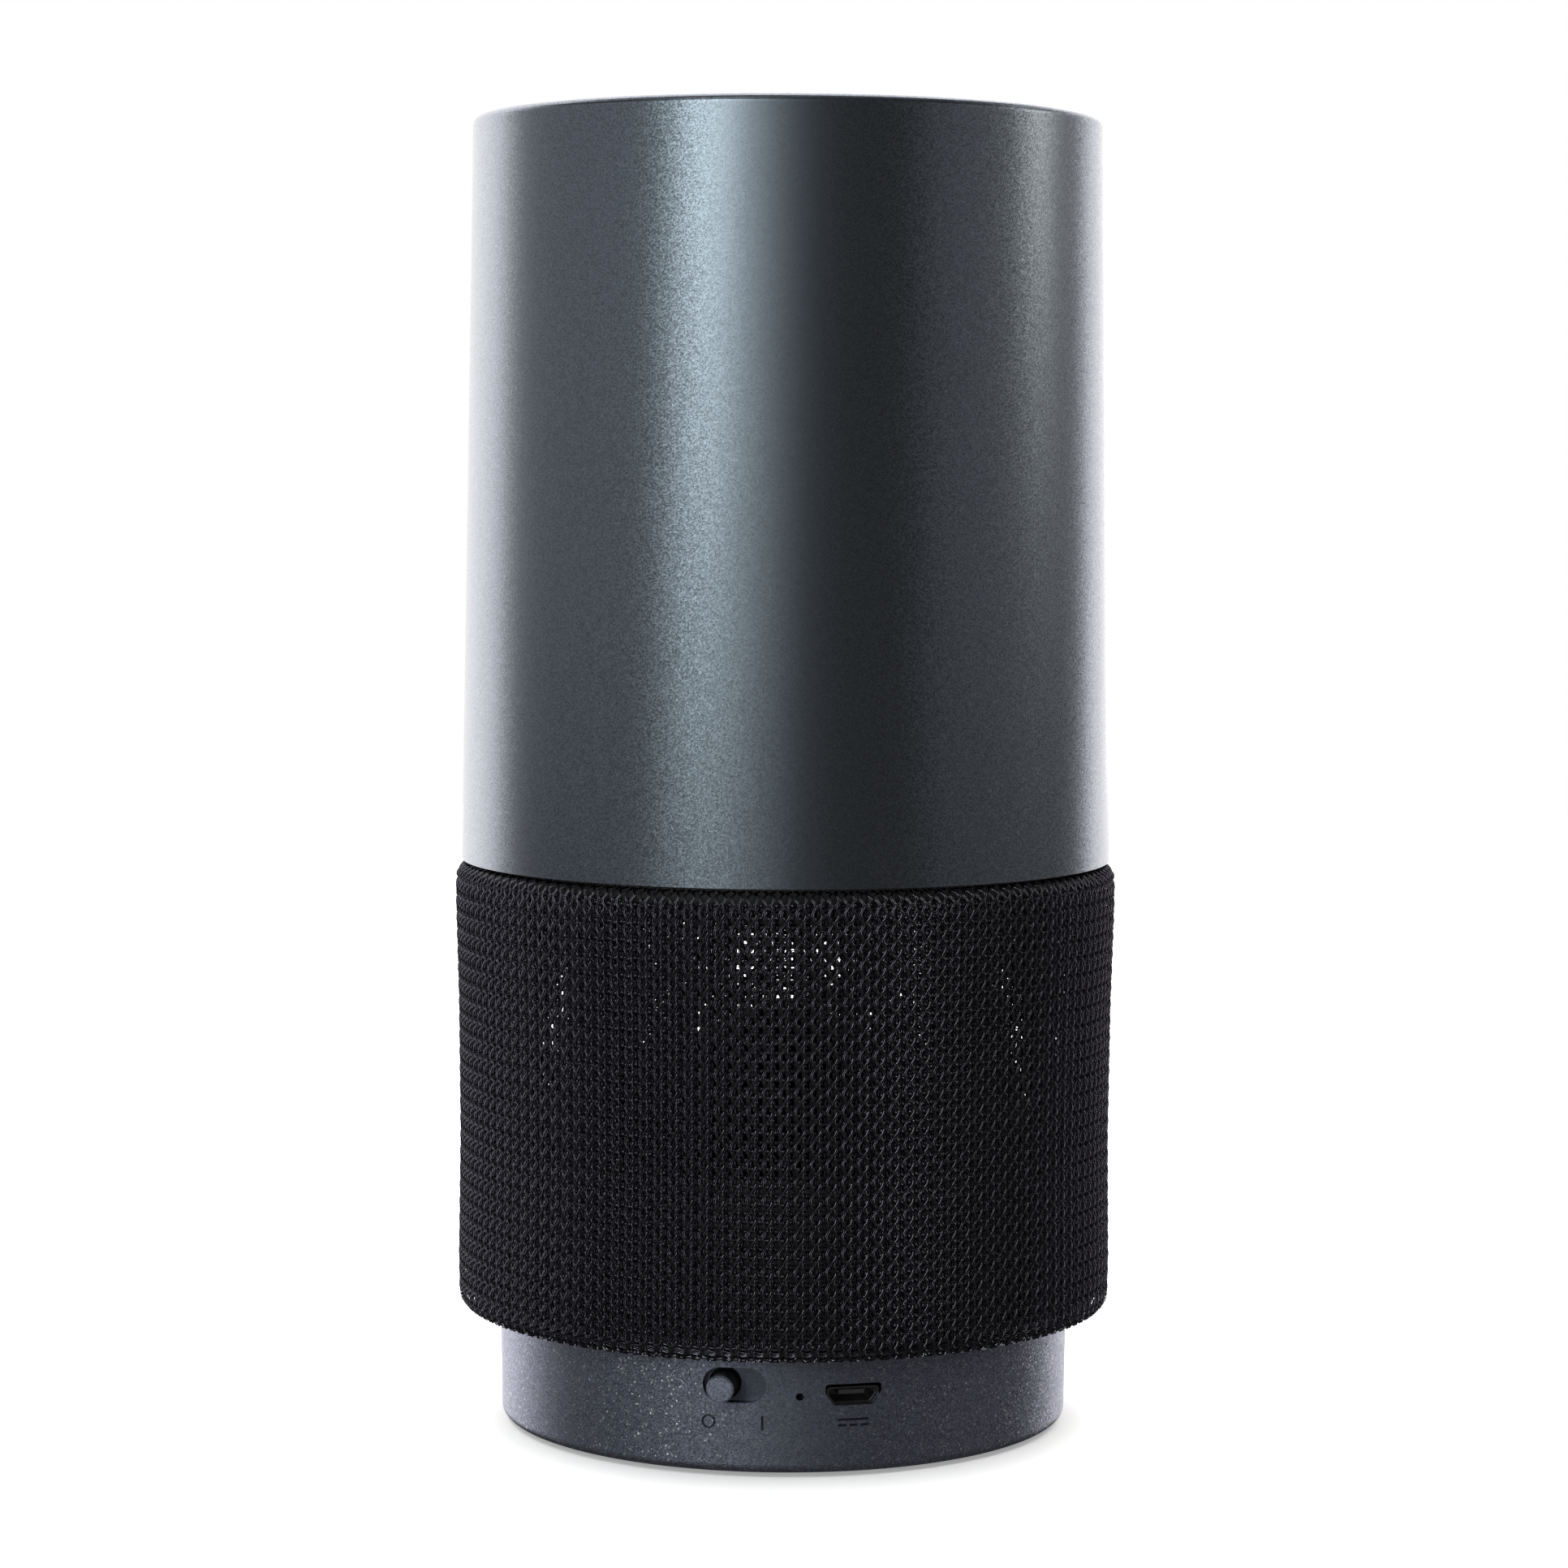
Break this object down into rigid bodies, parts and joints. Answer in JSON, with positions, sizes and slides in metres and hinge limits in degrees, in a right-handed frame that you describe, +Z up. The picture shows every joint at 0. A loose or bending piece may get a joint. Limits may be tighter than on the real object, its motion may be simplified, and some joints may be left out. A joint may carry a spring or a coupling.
{
  "type": "portable bluetooth speaker",
  "caption": "Upright round portable speaker: tapered metallic shell over a mesh-covered sound outlet, on a narrower base with a slide switch and a charging socket, and push buttons on top.",
  "frame": {"origin": "centre of the foot ring's underside, on the table", "axes": "+Z up along the body's axis; the side with the power switch and the charging socket faces -Y, +X to the right of it"},
  "size_m": [0.0976, 0.0976, 0.1918],
  "materials": {
    "shell_paint": "satin metallic paint with fine flakes",
    "base_paint": "plastic with metallic flake paint",
    "mesh_fabric": "knitted spacer mesh, glossy black yarn",
    "black_plastic": "fine satin",
    "gloss_black": "gloss",
    "black_rubber": "matte",
    "steel": "zinc plated",
    "bright_metal": "bright nickel",
    "black_steel": "black coated",
    "ferrite": "matte",
    "paper_cone": "pressed and dyed black",
    "board_green": "solder mask",
    "chip_black": "matte",
    "tin_can": "satin",
    "capacitor_blue": "sleeved",
    "ivory_plastic": "matte",
    "light_lens": "clear gloss",
    "cell_wrap": "shrink wrap",
    "copper": "enamelled wire",
    "amber_cloth": "resin-stiffened cloth",
    "amber_film": "film",
    "tag_board": "matte",
    "wire_red": "satin",
    "wire_black": "satin",
    "wire_grey": "satin",
    "white_plastic": "satin"
  },
  "bodies": {
    "speaker": {"base_housing": "base_paint", "foot_ring": "black_rubber", "base_screws": "steel", "lower_housing": "base_paint", "outlet_pillars": "base_paint", "outlet_ring": "base_paint", "mesh_sleeve": "mesh_fabric", "reflector": "black_plastic", "reflector_screws": "steel", "baffle": "black_plastic", "baffle_screws": "steel", "wire_grommets": "black_rubber", "shell": "shell_paint", "top_panel": "gloss_black", "driver_basket": "black_steel", "driver_gasket": "black_rubber", "driver_screws": "steel", "driver_terminal": "tag_board", "driver_washer": "steel", "driver_magnet": "ferrite", "driver_yoke": "steel", "surround": "black_rubber", "spider": "amber_cloth", "main_board": "board_green", "board_screws": "steel", "radio_module": "tin_can", "amplifier_chip": "chip_black", "capacitors": "capacitor_blue", "power_inductor": "chip_black", "wire_connectors": "ivory_plastic", "charge_light": "light_lens", "socket_shell": "bright_metal", "socket_tongue": "chip_black", "slide_switch_body": "bright_metal", "battery_cell": "cell_wrap", "battery_cradle": "black_plastic", "battery_wire": "wire_red", "speaker_wire": "wire_black", "panel_wire": "wire_grey", "button_board": "board_green", "button_board_screws": "steel", "button_switches": "tin_can", "panel_connector": "ivory_plastic"},
    "power_switch": {"power_slider": "base_paint", "switch_lever": "white_plastic"},
    "volume_down": {"volume_down_button": "black_rubber", "volume_down_plunger": "white_plastic"},
    "play": {"play_button": "black_rubber", "play_plunger": "white_plastic"},
    "volume_up": {"volume_up_button": "black_rubber", "volume_up_plunger": "white_plastic"},
    "diaphragm": {"cone": "paper_cone", "dust_cap": "paper_cone", "coil_former": "amber_film", "voice_coil": "copper"}
  },
  "joints": [
    {"name": "power_slide", "type": "slide", "parent": "speaker", "child": "power_switch", "axis": [0.9867, -0.1625, 0], "range_m": [0, 0.003]},
    {"name": "volume_down_press", "type": "slide", "parent": "speaker", "child": "volume_down", "axis": [0, 0, -1], "range_m": [0, 0.0004], "stiffness_N_per_m": 400},
    {"name": "play_press", "type": "slide", "parent": "speaker", "child": "play", "axis": [0, 0, -1], "range_m": [0, 0.0004], "stiffness_N_per_m": 400},
    {"name": "volume_up_press", "type": "slide", "parent": "speaker", "child": "volume_up", "axis": [0, 0, -1], "range_m": [0, 0.0004], "stiffness_N_per_m": 400},
    {"name": "cone_travel", "type": "slide", "parent": "speaker", "child": "diaphragm", "axis": [0, 0, 1], "range_m": [-0.0015, 0.0015], "stiffness_N_per_m": 1500, "deforming": ["surround", "spider"]}
  ]
}
